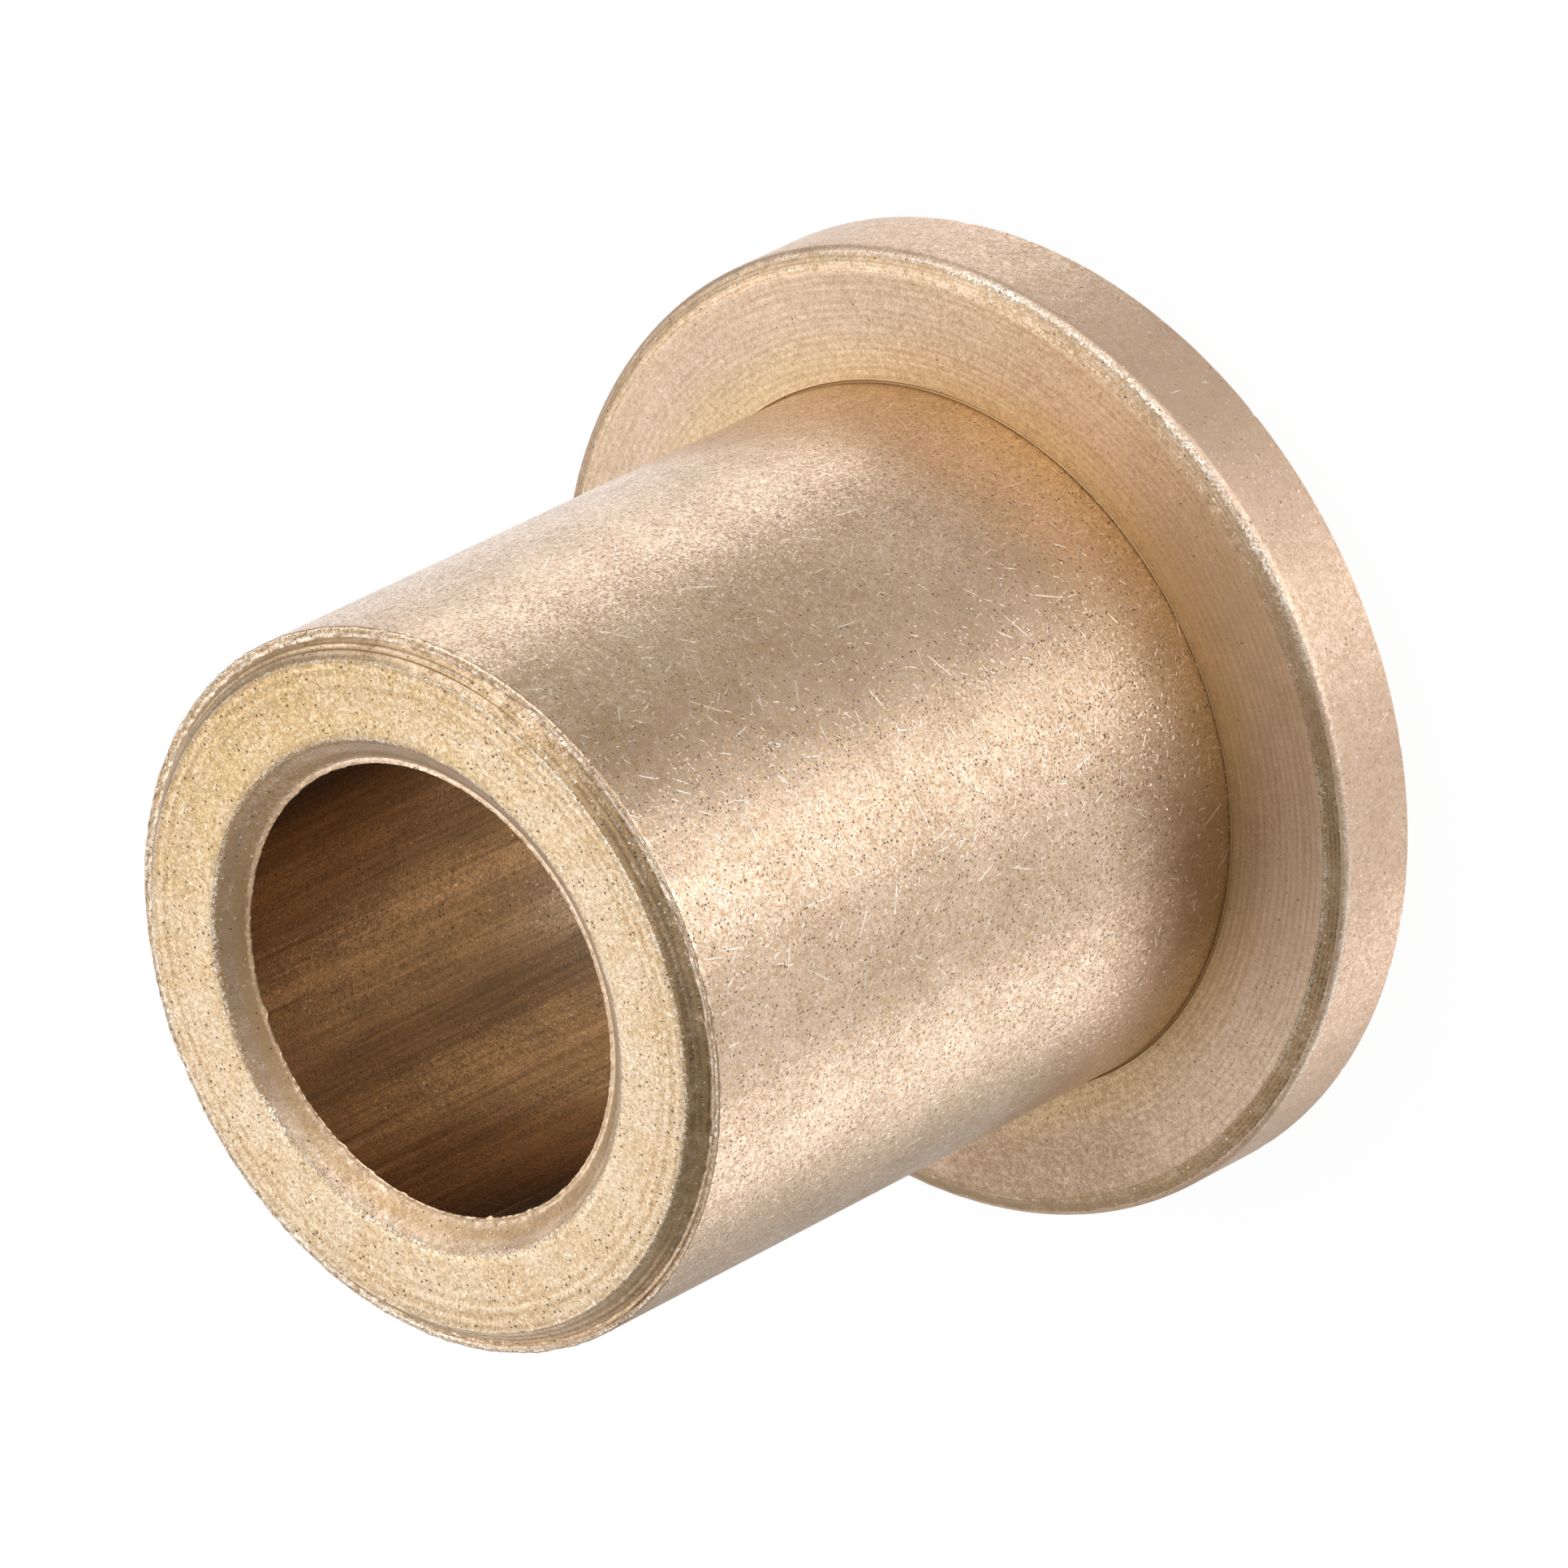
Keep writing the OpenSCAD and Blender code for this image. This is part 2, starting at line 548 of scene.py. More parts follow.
def new_group(name, takes, gives):
    """An empty node group: its graph, its inputs and its output sockets."""
    tree = bpy.data.node_groups.new(name, "ShaderNodeTree")
    for label, kind in takes.items():
        tree.interface.new_socket(name=label, in_out="INPUT", socket_type=KINDS[kind])
    for label, kind in gives.items():
        tree.interface.new_socket(name=label, in_out="OUTPUT", socket_type=KINDS[kind])
    graph = Graph(tree)
    return graph, graph.add("NodeGroupInput").outputs, graph.add("NodeGroupOutput").inputs


def polar_group():
    """Where a point lies round the bushing's axis."""
    g, given, out = new_group(
        "Polar place", {"Place": "vector"},
        {"Unrolled": "vector", "Around": "vector", "Radius": "value", "Height": "value"})
    x, y, z = g.split(given["Place"])
    flat = g.joined(x, y, 0.0)
    radius = g.vector("LENGTH", flat)
    angle = g.math("ARCTAN2", x, g.times(y, -1.0))
    g.feed(out["Unrolled"], g.joined(g.times(angle, radius), z, 0.0))
    g.feed(out["Around"], g.vector("NORMALIZE", flat))
    g.feed(out["Radius"], radius)
    g.feed(out["Height"], z)


def grain_group():
    """Sintered grain: lumps of one size with smaller ones on them."""
    g, given, out = new_group(
        "Sintered grain", {"Place": "vector", "Size": "value"},
        {"Height": "value", "Tone": "value", "Tilt": "vector"})
    scale = g.math("DIVIDE", 1.0, given["Size"])
    fine = g.noise(given["Place"], scale, 3.0, 0.6)
    coarse = g.noise(g.vector("ADD", given["Place"], (31.0, 17.0, 5.0)),
                     g.times(scale, 0.3), 2.0, 0.6)
    height = g.plus(g.times(fine, 0.62), g.times(coarse, 0.38))
    facets = g.add("ShaderNodeTexVoronoi", {"Vector": given["Place"], "Scale": scale}).outputs
    facet = g.split(facets["Color"])[0]
    pick = g.math("FRACT", g.vector("DOT_PRODUCT", facets["Color"], (7.3, 5.1, 3.7)))
    g.feed(out["Height"], height)
    lumps = g.times(g.fade(height, 0.36, 0.64), 0.55)
    g.feed(out["Tone"], g.plus(lumps, g.times(facet, 0.45)))
    # Every grain leans its own way: most lean a little, and the few that lean far glitter
    lean = g.vector("SUBTRACT", facets["Color"], (0.5, 0.5, 0.5))
    far = g.plus(g.times(g.math("POWER", pick, 6.0), 2.4), 0.5)
    g.feed(out["Tilt"], g.scaled(lean, far))


def pores_group():
    """Open pores, and bright grains that the press has burnished."""
    g, given, out = new_group(
        "Pores and flecks",
        {"Place": "vector", "Cell": "value", "Width": "value", "Pore share": "value",
         "Fleck share": "value"},
        {"Pores": "value", "Flecks": "value"})
    scale = g.math("DIVIDE", 1.0, given["Cell"])
    warp = g.noise(given["Place"], g.times(scale, 1.7), 1.0)
    shove = g.scaled(g.joined(warp, warp, warp), g.times(given["Cell"], 0.5))
    bent = g.vector("ADD", given["Place"], shove)
    cells = g.add("ShaderNodeTexVoronoi", {"Vector": bent, "Scale": scale}).outputs
    pick, size, other = g.split(cells["Color"])
    reach = g.times(given["Width"], g.fade(size, 0.0, 1.0, 0.35, 1.0))
    spot = g.fade(cells["Distance"], reach, g.times(reach, 0.55))
    is_pore = g.math("LESS_THAN", pick, given["Pore share"])
    is_fleck = g.math("LESS_THAN", other, given["Fleck share"])
    g.feed(out["Pores"], g.times(spot, is_pore))
    clean = g.minus(1.0, is_pore)
    g.feed(out["Flecks"], g.times(g.times(spot, is_fleck), clean))


def scratches_group():
    """Short straight scratches, at most one in a cell, each at its own angle."""
    g, given, out = new_group(
        "Handling scratches",
        {"Sheet": "vector", "Cell": "value", "Width": "value", "Share": "value"},
        {"Scratches": "value"})
    cells = g.add(
        "ShaderNodeTexVoronoi",
        {"Vector": given["Sheet"], "Scale": g.math("DIVIDE", 1.0, given["Cell"])},
        voronoi_dimensions="2D").outputs
    turn, span, pick = g.split(cells["Color"])
    offset = g.vector("SUBTRACT", given["Sheet"], cells["Position"])
    angle = g.times(turn, math.pi)
    cosine, sine = g.math("COSINE", angle), g.math("SINE", angle)
    along = g.vector("DOT_PRODUCT", offset, g.joined(cosine, sine, 0.0))
    across = g.vector("DOT_PRODUCT", offset, g.joined(g.times(sine, -1.0), cosine, 0.0))
    bow = g.times(g.times(along, along), SCRATCH_BOW)
    off_line = g.math("ABSOLUTE", g.plus(across, bow))
    reach = g.times(given["Cell"], g.fade(span, 0.0, 1.0, 0.14, 0.46))
    ends = g.fade(g.math("ABSOLUTE", along), reach, g.times(reach, 0.35))
    width = g.times(given["Width"], g.plus(0.25, g.times(ends, 0.75)))
    groove = g.fade(off_line, width, 0.0)
    is_there = g.math("LESS_THAN", pick, given["Share"])
    g.feed(out["Scratches"], g.times(g.times(groove, ends), is_there))


def rings_group():
    """Rings that a turning tool leaves, a little uneven round the part."""
    g, given, out = new_group(
        "Turned rings", {"Place": "vector", "Pitch": "value"},
        {"Height": "value", "Tilt": "vector"})
    polar = g.use("Polar place", Place=given["Place"])
    slope = g.minus(polar["Radius"], polar["Height"])
    drift = g.scaled(polar["Around"], 0.7)
    fine = g.vector("ADD", drift, g.joined(0.0, 0.0, g.math("DIVIDE", slope, given["Pitch"])))
    broad_pitch = g.times(given["Pitch"], 3.7)
    broad = g.vector("ADD", g.scaled(drift, 0.5), g.joined(
        9.0, 0.0, g.math("DIVIDE", slope, broad_pitch)))
    wander = g.times(g.noise(broad, 1.0, 1.0), 9.0)
    turns = g.times(g.math("DIVIDE", slope, given["Pitch"]), math.tau)
    wave = g.math("SINE", g.plus(turns, wander))
    height = g.plus(g.times(g.noise(fine, 1.0, 2.0, 0.55), 0.5), g.times(wave, 0.12))
    g.feed(out["Height"], g.plus(height, 0.25))
    groove = g.noise(g.vector("ADD", g.scaled(polar["Around"], 6.0), g.joined(
        4.0, 0.0, g.math("DIVIDE", slope, GROOVE_PITCH))), 1.0, 1.0)
    lean = g.times(g.minus(groove, 0.5), LINE_LEAN)
    g.feed(out["Tilt"], g.scaled(polar["Around"], lean))


def streaks_group():
    """Lines drawn along the bore by the sizing core."""
    g, given, out = new_group(
        "Drawn streaks", {"Place": "vector", "Pitch": "value"},
        {"Height": "value", "Tilt": "vector"})
    x, y, z = g.split(given["Place"])
    long = g.joined(x, y, g.times(z, 0.03))
    scale = g.math("DIVIDE", 1.0, given["Pitch"])
    fine = g.noise(long, scale, 2.0, 0.6)
    broad = g.noise(long, g.times(scale, 0.22), 1.0)
    g.feed(out["Height"], g.plus(g.times(fine, 0.55), g.times(broad, 0.45)))
    groove = g.noise(long, 22.0, 1.0)
    lean = g.times(g.minus(groove, 0.5), LINE_LEAN)
    sideways = g.vector("NORMALIZE", g.joined(g.times(y, -1.0), x, 0.0))
    g.feed(out["Tilt"], g.scaled(sideways, lean))


def tarnish_group():
    """Soft cloudy film where hands have been."""
    g, given, out = new_group(
        "Tarnish film", {"Place": "vector", "Size": "value"}, {"Film": "value"})
    scale = g.math("DIVIDE", 1.0, given["Size"])
    cloud = g.noise(given["Place"], scale, 4.0, 0.62)
    mottle = g.noise(given["Place"], g.times(scale, 7.0), 2.0, 0.6)
    both = g.plus(g.times(cloud, 0.72), g.times(mottle, 0.28))
    g.feed(out["Film"], g.fade(both, 0.42, 0.62))


def rim_group():
    """A ragged bright band along one rim."""
    g, given, out = new_group(
        "Rim wear and highlight",
        {"Place": "vector", "Radius": "value", "Height": "value", "Width": "value",
         "Torn": "value"},
        {"Rim band": "value"})
    polar = g.use("Polar place", Place=given["Place"])
    away = g.vector("LENGTH", g.joined(
        g.minus(polar["Radius"], given["Radius"]),
        g.minus(polar["Height"], given["Height"]), 0.0))
    jitter = g.noise(given["Place"], 12.0, 3.0, 0.7)
    uneven = g.minus(g.fade(jitter, 0.42, 0.62, 0.05, 1.5), 1.0)
    share = g.plus(1.0, g.times(uneven, given["Torn"]))
    reach = g.times(given["Width"], share)
    g.feed(out["Rim band"], g.fade(away, reach, g.times(reach, 0.3)))


def shared_groups():
    """Makes every group, those that others use first."""
    polar_group()
    grain_group()
    pores_group()
    scratches_group()
    rings_group()
    streaks_group()
    tarnish_group()
    rim_group()


# How each surface is finished, with sizes and depths in millimetres.
# tone, film tone, shade tone: colours of BronzeLook, the last two tarnish and open grain if absent
# rough: the roughness of burnished and of open grain
# film: the size of the tarnish's clouds, and their amount
# grain: size, depth, contrast, and how far the grains lean
# pores: cell, width, the shares of cells with a pore and with a fleck, depth
# scratches: sets of cell, width and share, drawn on the unrolled surface unless it is flat
# lines: the tool's marks as their group, pitch, depth, contrast and lean
# line zone: the radii between which those marks fade in
# rims: the edges that are rubbed bright, two of them with a painted highlight where the edge
# catches the light
# stains, polished: patches with an angle in degrees from the camera's side, radius, height, reach
# and amount. The stains are painted shade where less light falls, on the sleeve's upper band
# partly real tarnish too; the polished patches are painted highlights and reflections
# oil: the amount of the golden band in the flange's corner, painted warm light that bounces between
# sleeve and flange
# coat: the weight of a glossy film of oil over everything
FINISHES = {
    "sized sleeve": {
        "tone": "sleeve", "rough": (0.24, 0.46), "film": (1.9, 0.36),
        "grain": (0.041, 0.0040, 0.90, 0.16), "pores": (0.090, 0.36, 0.60, 0.26, 0.010),
        "scratches": [(0.30, 0.022, 0.40), (0.60, 0.026, 0.42), (1.25, 0.030, 0.45)],
        "lines": None, "rims": [], "oil_and_painted_bounce": 0.35,
        "painted_shade_and_stains": [(21, 8, 18.9, 2.0, 0.55), (28, 8, 12.7, 4.0, 0.30), (24, 8, 16.4, 3.0, 0.32),
                   (-94, 8, 11, 5.5, 0.45), (-43, 8, 3.2, 3.2, 0.90), (-38, 8, 3.1, 2.6, 0.60)],
        "painted_highlights": [(-86, 8, 4.4, 3.0, 0.95), (45, 8, 4.6, 6.0, 0.55)],
    },
    "flange rim": {
        "tone": "rim", "rough": (0.36, 0.56), "film": (2.4, 0.28),
        "grain": (0.048, 0.0036, 0.60, 0.10), "pores": (0.11, 0.27, 0.18, 0.34, 0.006),
        "scratches": [(0.6, 0.016, 0.25)],
        "lines": None, "rims": ["torn foot", "soft foot highlight"],
    },
    "pressed face": {
        "tone": "face", "flat": True, "rough": (0.34, 0.60),
        "film": (1.1, 0.48), "film tone": "oil_and_painted_bounce",
        "grain": (0.046, 0.0080, 0.74, 0.15), "pores": (0.11, 0.36, 0.38, 0.50, 0.014),
        "scratches": [(0.45, 0.020, 0.25)],
        "lines": ("Turned rings", 0.27, 0.0240, 0.30, 0.04), "line zone": (6.3, 7.1),
        "rims": ["face rim", "bore rim"],
        "painted_shade_and_stains": [(95, 6.6, 20, 9.0, 0.78)],
    },
    "turned face": {
        "tone": "turned", "rough": (0.42, 0.62), "film": (2.6, 0.20),
        "grain": (0.046, 0.0030, 0.42, 0.08), "pores": (0.11, 0.26, 0.12, 0.26, 0.005),
        "scratches": [],
        "lines": ("Turned rings", 0.17, 0.0040, 0.21, 0.06), "rims": ["bevel top wear and highlight"], "oil_and_painted_bounce": 0.60,
        "painted_shade_and_stains": [(-112, 9.8, 3, 9.0, 0.90), (55, 9.8, 3, 6.0, 0.25)],
        "painted_highlights": [(-48, 9.6, 3, 10.0, 0.45)],
    },
    "turned bevel": {
        "tone": "turned", "rough": (0.34, 0.56),
        "film": (1.6, 0.26), "film tone": "pore",
        "grain": (0.048, 0.0045, 0.64, 0.12), "pores": (0.11, 0.28, 0.20, 0.30, 0.008),
        "scratches": [],
        "lines": ("Turned rings", 0.13, 0.0060, 0.44, 0.06),
        "rims": ["bevel top wear and highlight", "torn foot"],
        "painted_shade_and_stains": [(-75, 10.8, 2.9, 12.0, 0.60), (-26, 10.8, 2.9, 7.0, 0.48),
                   (28, 10.7, 2.9, 6.0, 0.30)],
    },
    "cut edge": {
        "tone": "cut", "rough": (0.30, 0.52), "film": (1.0, 0.18), "film tone": "pore",
        "grain": (0.046, 0.0045, 0.62, 0.12), "pores": (0.10, 0.30, 0.34, 0.45, 0.010),
        "scratches": [],
        "lines": ("Turned rings", 0.24, 0.0040, 0.44, 0.08), "rims": ["face rim"],
        "painted_shade_and_stains": [(-8, 7.6, 19.8, 10.5, 0.82), (84, 7.6, 19.8, 6.0, 0.35),
                   (-58, 7.6, 19.8, 5.0, 0.22), (24, 7.6, 19.8, 4.5, 0.25)],
        "painted_highlights": [(-122, 7.6, 19.8, 8.0, 0.90)],
    },
    "burnished land": {
        "tone": "land", "rough": (0.32, 0.54), "film": (1.0, 0.40),
        "grain": (0.048, 0.0060, 0.60, 0.16), "pores": (0.10, 0.32, 0.40, 0.40, 0.012),
        "scratches": [],
        "lines": ("Turned rings", 0.16, 0.0060, 0.60, 0.10), "rims": ["tip mouth"],
        "painted_shade_and_stains": [(60, 7.8, 19.6, 7.0, 0.30)],
    },
    "reamed chamfer": {
        "tone": "cut", "rough": (0.38, 0.58), "film": (1.2, 0.22),
        "grain": (0.046, 0.0045, 0.50, 0.12), "pores": (0.10, 0.30, 0.30, 0.45, 0.010),
        "scratches": [],
        "lines": ("Turned rings", 0.11, 0.0060, 0.44, 0.08), "rims": ["bore rim"],
        "painted_shade_and_stains": [(160, 5.4, 19.8, 7.0, 0.85), (112, 5.4, 19.8, 5.0, 0.80),
                   (-112, 5.4, 19.8, 4.5, 0.45)],
        "painted_highlights": [(45, 5.4, 19.8, 7.0, 1.0)],
    },
    "drawn bore": {
        "tone": "bore", "rough": (0.16, 0.33), "film": (1.6, 0.30), "coat": 0.40,
        "grain": (0.042, 0.0014, 0.36, 0.06), "pores": (0.11, 0.32, 0.24, 0.16, 0.003),
        "scratches": [], "shade tone": "pore",
        "lines": ("Drawn streaks", 0.095, 0.0030, 0.27, 0.03), "rims": [],
    },
    # Painted shade: a dark brown line in the crease between flange and sleeve, where the corner
    # lies in shade
    "painted corner shade": {
        "tone": "open_grain", "rough": (0.50, 0.65), "film": (0.8, 0.30),
        "grain": (0.046, 0.0040, 0.60, 0.08), "pores": (0.11, 0.30, 0.30, 0.10, 0.008),
        "scratches": [],
        "lines": None, "rims": [],
    },
}

SURFACES = {
    "back land": "cut edge", "back bore chamfer": "cut edge", "back face": "pressed face",
    "back chamfer": "cut edge", "rim": "flange rim", "bevel": "turned bevel",
    "flange face": "turned face", "corner": "painted corner shade", "sleeve": "sized sleeve",
    "tip land": "burnished land", "tip chamfer": "cut edge", "end face": "pressed face",
    "end chamfer": "reamed chamfer", "end land": "reamed chamfer", "bore wall": "drawn bore",
}


def bright_rims(s):
    """The rims that handling rubs bright, and two bright bands that are painted highlights where an
    edge catches the light.

    Each has a radius, height and width in millimetres, how torn it is, how bright it gets, and
    the angle and the reach of the stretch that is rubbed, or None where that is all the way round.
    """
    bore, sleeve, flange = s.bore_r / MM, s.sleeve_r / MM, s.flange_r / MM
    thick, length = s.flange_t / MM, s.length / MM
    return {
        "face rim": (sleeve - TIP_LAND - TIP_CHAMFER_W, length, 0.08, 1.0, 0.70, None),
        "bore rim": (bore + BORE_LAND + BORE_CHAMFER_W, length, 0.09, 1.0, 0.70, None),
        "tip mouth": (sleeve - 0.03, length - TIP_CHAMFER_H, 0.11, 1.0, 0.70, None),
        "torn foot": (flange - 0.11, thick - 0.16, 0.13, 1.0, 0.90, (34, 13)),
        # Painted highlight: the smooth pale band of the rounded edge where it catches the light,
        # over a little torn relief
        "soft foot highlight": (flange - 0.03, thick - 0.26, 0.11, 0.5, 0.50, (-50, 9)),
        # Torn relief with a painted highlight: the light golden band where the bevel meets the face
        "bevel top wear and highlight": (flange - FRONT_BEVEL_W - 0.02, thick, 0.10, 0.8, 0.42, (-42, 8)),
    }


class BUSHING_OT_finish_surfaces(bpy.types.Operator):
    """Give each surface of the body its own bronze"""

    bl_idname = "bushing.finish_surfaces"
    bl_label = "Finish Surfaces"

    def execute(self, context):
        shared_groups()
        body = bpy.data.objects[PIECE]
        slots = {}
        for name, finish in FINISHES.items():
            slots[name] = len(body.data.materials)
            body.data.materials.append(self.bronze(name, finish))
        outline, names = half_section(sizes())
        rows = len(outline)
        for face in body.data.polygons:
            found = {index % rows for index in face.vertices}
            later = 0 if found == {0, rows - 1} else max(found)
            face.material_index = slots[SURFACES[names[later]]]
        return {"FINISHED"}

    def bronze(self, name, finish):
        """One bronze, built from the shared groups and a surface's own values."""
        tones = look()
        material = bpy.data.materials.new(name)
        material.use_nodes = True
        shader = material.node_tree.nodes["Principled BSDF"]
        g = Graph(material.node_tree)
        place = g.scaled(g.add("ShaderNodeTexCoord").outputs["Object"], 1 / MM)
        polar = g.use("Polar place", Place=place)

        size, depth, contrast, grain_lean = finish["grain"]
        grain = g.use("Sintered grain", Place=place, Size=size)
        cell, width, pore_share, fleck_share, pit = finish["pores"]
        pores = g.use("Pores and flecks", Place=place, Cell=cell, Width=width,
                      Pore_share=pore_share, Fleck_share=fleck_share)
        film_size, film_amount = finish["film"]
        film = g.use("Tarnish film", Place=place, Size=film_size)["Film"]
        film = g.times(film, film_amount)
        # Painted shade: darker patches laid at set angles where less light falls, joined to the
        # tarnish film; on the sleeve's upper band they are partly real tarnish
        for cloudy_patch in finish.get("painted_shade_and_stains", []):
            film = g.plus(film, self.cloudy_patch(g, place, *cloudy_patch))
        film = g.times(film, g.fade(grain["Height"], 0.38, 0.62, *FILM_BETWEEN_AND_ON))

        tilt = g.scaled(grain["Tilt"], grain_lean)
        height = g.times(grain["Height"], depth)
        shade = g.times(g.minus(1.0, grain["Tone"]), contrast)
        if finish["lines"]:
            group, pitch, line_depth, line_contrast, line_lean = finish["lines"]
            lines = g.use(group, Place=place, Pitch=pitch)
            tilt = g.vector("ADD", tilt, g.scaled(lines["Tilt"], line_lean))
            relief = g.times(lines["Height"], line_depth)
            dull = g.fade(lines["Height"], 0.58, 0.42, 0.0, line_contrast)
            if "line zone" in finish:
                zone = g.fade(polar["Radius"], *finish["line zone"])
                relief = g.times(relief, zone)
                dull = g.times(dull, zone)
            height = g.plus(height, relief)
            shade = g.plus(shade, dull)
        height = g.minus(height, g.times(pores["Pores"], pit))
        marks = None
        sheet = place if finish.get("flat") else polar["Unrolled"]
        for cell, width, share in finish["scratches"]:
            found = g.use("Handling scratches", Sheet=sheet, Cell=cell, Width=width,
                          Share=share)["Scratches"]
            marks = found if marks is None else g.math("MAXIMUM", marks, found)
        bright = g.times(pores["Flecks"], FLECK_SHINE)
        if marks is not None:
            height = g.minus(height, g.times(marks, SCRATCH_DEPTH))
            bright = g.math("MAXIMUM", bright, g.times(marks, SCRATCH_SHINE))
        # One bright mask for the rubbed rims and for the painted highlights of the soft foot and
        # the bevel top
        scuffs_and_painted_highlights = torn_relief = 0.0
        for rim in finish["rims"]:
            radius, level, width, torn, pale, stretch = bright_rims(sizes())[rim]
            rim_band = g.use("Rim wear and highlight", Place=place, Radius=radius, Height=level, Width=width,
                         Torn=torn)["Rim band"]
            if stretch:
                angle, reach = stretch
                here = self.cloudy_patch(g, place, angle, radius, level, reach, 1.0)
                rim_band = g.times(rim_band, here)
            scuffs_and_painted_highlights = g.math("MAXIMUM", scuffs_and_painted_highlights, g.times(rim_band, pale))
            torn_relief = g.math("MAXIMUM", torn_relief, g.times(rim_band, torn))
        if finish["rims"]:
            patches = g.fade(g.noise(place, 0.55, 2.0, 0.6), 0.40, 0.62, 0.45, 1.0)
            scuffs_and_painted_highlights = g.times(scuffs_and_painted_highlights, patches)
            scuffs = g.times(g.noise(place, 11.0, 2.0, 0.65), SCUFF_DEPTH)
            height = g.plus(height, g.times(scuffs, torn_relief))
            bright = g.math("MAXIMUM", bright, scuffs_and_painted_highlights)

        film_tone = getattr(tones, finish.get("film tone", "tarnish"))
        tone = g.mix(film, tuple(getattr(tones, finish["tone"])), tuple(film_tone))
        # Painted highlights and reflections: brighter bronze laid at set angles where more light
        # falls, as where the sleeve's foot reflects the flange
        for patch in finish.get("painted_highlights", []):
            tone = g.mix(self.cloudy_patch(g, place, *patch), tone, tuple(tones.painted_highlight_tone))
        # Painted warm bounce light: a golden band in the corner between sleeve and flange
        if "oil_and_painted_bounce" in finish:
            tone = g.mix(self.oil_and_painted_bounce(g, place, polar, finish["oil_and_painted_bounce"]), tone, tuple(tones.oil_and_painted_bounce))
        tone = g.mix(shade, tone, tuple(getattr(tones, finish.get("shade tone", "open_grain"))))
        tone = g.mix(bright, tone, tuple(tones.fleck_and_edge_highlight))
        tone = g.mix(g.times(pores["Pores"], PORE_DARKNESS), tone, tuple(tones.pore))
        g.feed(shader.inputs["Base Color"], tone)

        burnished, open_grain = (value + tones.dulling for value in finish["rough"])
        roughness = g.fade(grain["Tone"], 0.0, 1.0, open_grain, burnished)
        roughness = g.plus(roughness, g.times(film, FILM_DULLING))
        roughness = g.plus(roughness, g.times(scuffs_and_painted_highlights, SCUFF_DULLING))
        g.feed(shader.inputs["Roughness"], roughness)
        shader.inputs["Metallic"].default_value = 1.0
        shader.inputs["Coat Weight"].default_value = finish.get("coat", 0.0)
        shader.inputs["Coat Roughness"].default_value = COAT_ROUGHNESS
        upright = g.add("ShaderNodeNewGeometry").outputs["Normal"]
        leaning = g.vector("NORMALIZE", g.vector("ADD", upright, tilt))
        bump = g.add("ShaderNodeBump", {"Height": height, "Distance": MM, "Normal": leaning})
        g.feed(shader.inputs["Normal"], bump.outputs["Normal"])
        return material

    def oil_and_painted_bounce(self, g, place, polar, amount):
        """A golden band that hugs the corner between sleeve and flange: painted warm light bounced
        between them.
        """
        s = sizes()
        away = g.vector("LENGTH", g.joined(
            g.minus(polar["Radius"], s.sleeve_r / MM),
            g.minus(polar["Height"], s.flange_t / MM), 0.0))
        cloud = g.times(g.noise(place, 0.9, 3.0, 0.6), 0.9)
        return g.fade(g.plus(away, cloud), 2.0, 0.5, 0.0, amount)

    def cloudy_patch(self, g, place, angle, radius, level, reach, amount):
        """A patch with a cloudy edge round one point of a surface: the mask of painted shade, of
        painted highlights and of a rubbed rim's stretch.
        """
        turn = math.radians(angle)
        centre = (radius * math.sin(turn), -radius * math.cos(turn), level)
        away = g.vector("LENGTH", g.vector("SUBTRACT", place, centre))
        cloud = g.times(g.noise(place, 1.3, 4.0, 0.65), 1.4 * reach)
        return g.fade(g.plus(away, cloud), 1.7 * reach, 0.7 * reach, 0.0, amount)


# How deep a handling scratch and a scuffed rim are, in millimetres
SCRATCH_DEPTH = 0.004
SCUFF_DEPTH = 0.035
# How strongly burnished flecks and scratches take the fleck's colour, and pores the pore's
FLECK_SHINE = 0.65
SCRATCH_SHINE = 0.60
PORE_DARKNESS = 0.85
# How the film's amount, with the painted shade in it, is scaled between the grains, where it
# gathers, and on top of them
FILM_BETWEEN_AND_ON = (1.40, 0.60)
# Roughness that full tarnish and a full scuff add, and that of the oil's gloss
FILM_DULLING = 0.05
SCUFF_DULLING = 0.10
COAT_ROUGHNESS = 0.22

CLASSES.append(BUSHING_OT_finish_surfaces)

# The photograph's camera: what it looks at, from how far, how high and how rolled
LOOK_AT = Vector((0.60, -1.10, 8.84)) * MM
CAMERA_DISTANCE = 352.8 * MM
CAMERA_ELEVATION = math.radians(43.56)
CAMERA_ROLL = math.radians(-116.27)
CAMERA_LENS = 382.5
CAMERA_SENSOR = 36.0

# The softboxes: azimuth from the camera's side and elevation in degrees, width and height in
# degrees as the part sees them, and brightness. Those below the horizon light the sleeve, which
# stands upright and so reflects only what is low
LAMP_DISTANCE = 0.25
SOFTBOXES = {
    "front": (-2, 0, 60, 70, 2.3),
    "front low": (-11, -38, 28, 30, 1.2),
    "front right low": (64, -38, 36, 34, 0.20),
    "left low": (-89, -30, 40, 40, 1.62),
    "back left": (-147, -8, 30, 26, 0.6),
    "left front low": (-48, -38, 28, 30, 0.65),
    "right low": (103, -38, 24, 40, 1.45),
    "back right low": (152, -38, 44, 40, 0.8),
    "under": (0, -90, 100, 100, 0.3),
    "right": (66, 33, 66, 50, 2.3),
    "right high": (135, 57, 36, 68, 2.1),
    "back": (168, 28, 46, 46, 1.2),
    "left high": (-135, 43, 48, 42, 0.85),
}
LAMP_TINT = (0.95, 1.0, 1.10)
# The room's light on the part, and its colour
ROOM_LIGHT = 0.38
ROOM_TINT = (1.0, 0.97, 0.90)
# The floor's side in metres, its grey where light falls on it, and how far the camera sees it as
# plain white instead
FLOOR_SIDE = 4.0
FLOOR_GREY = 0.92
FLOOR_WHITE = 0.96


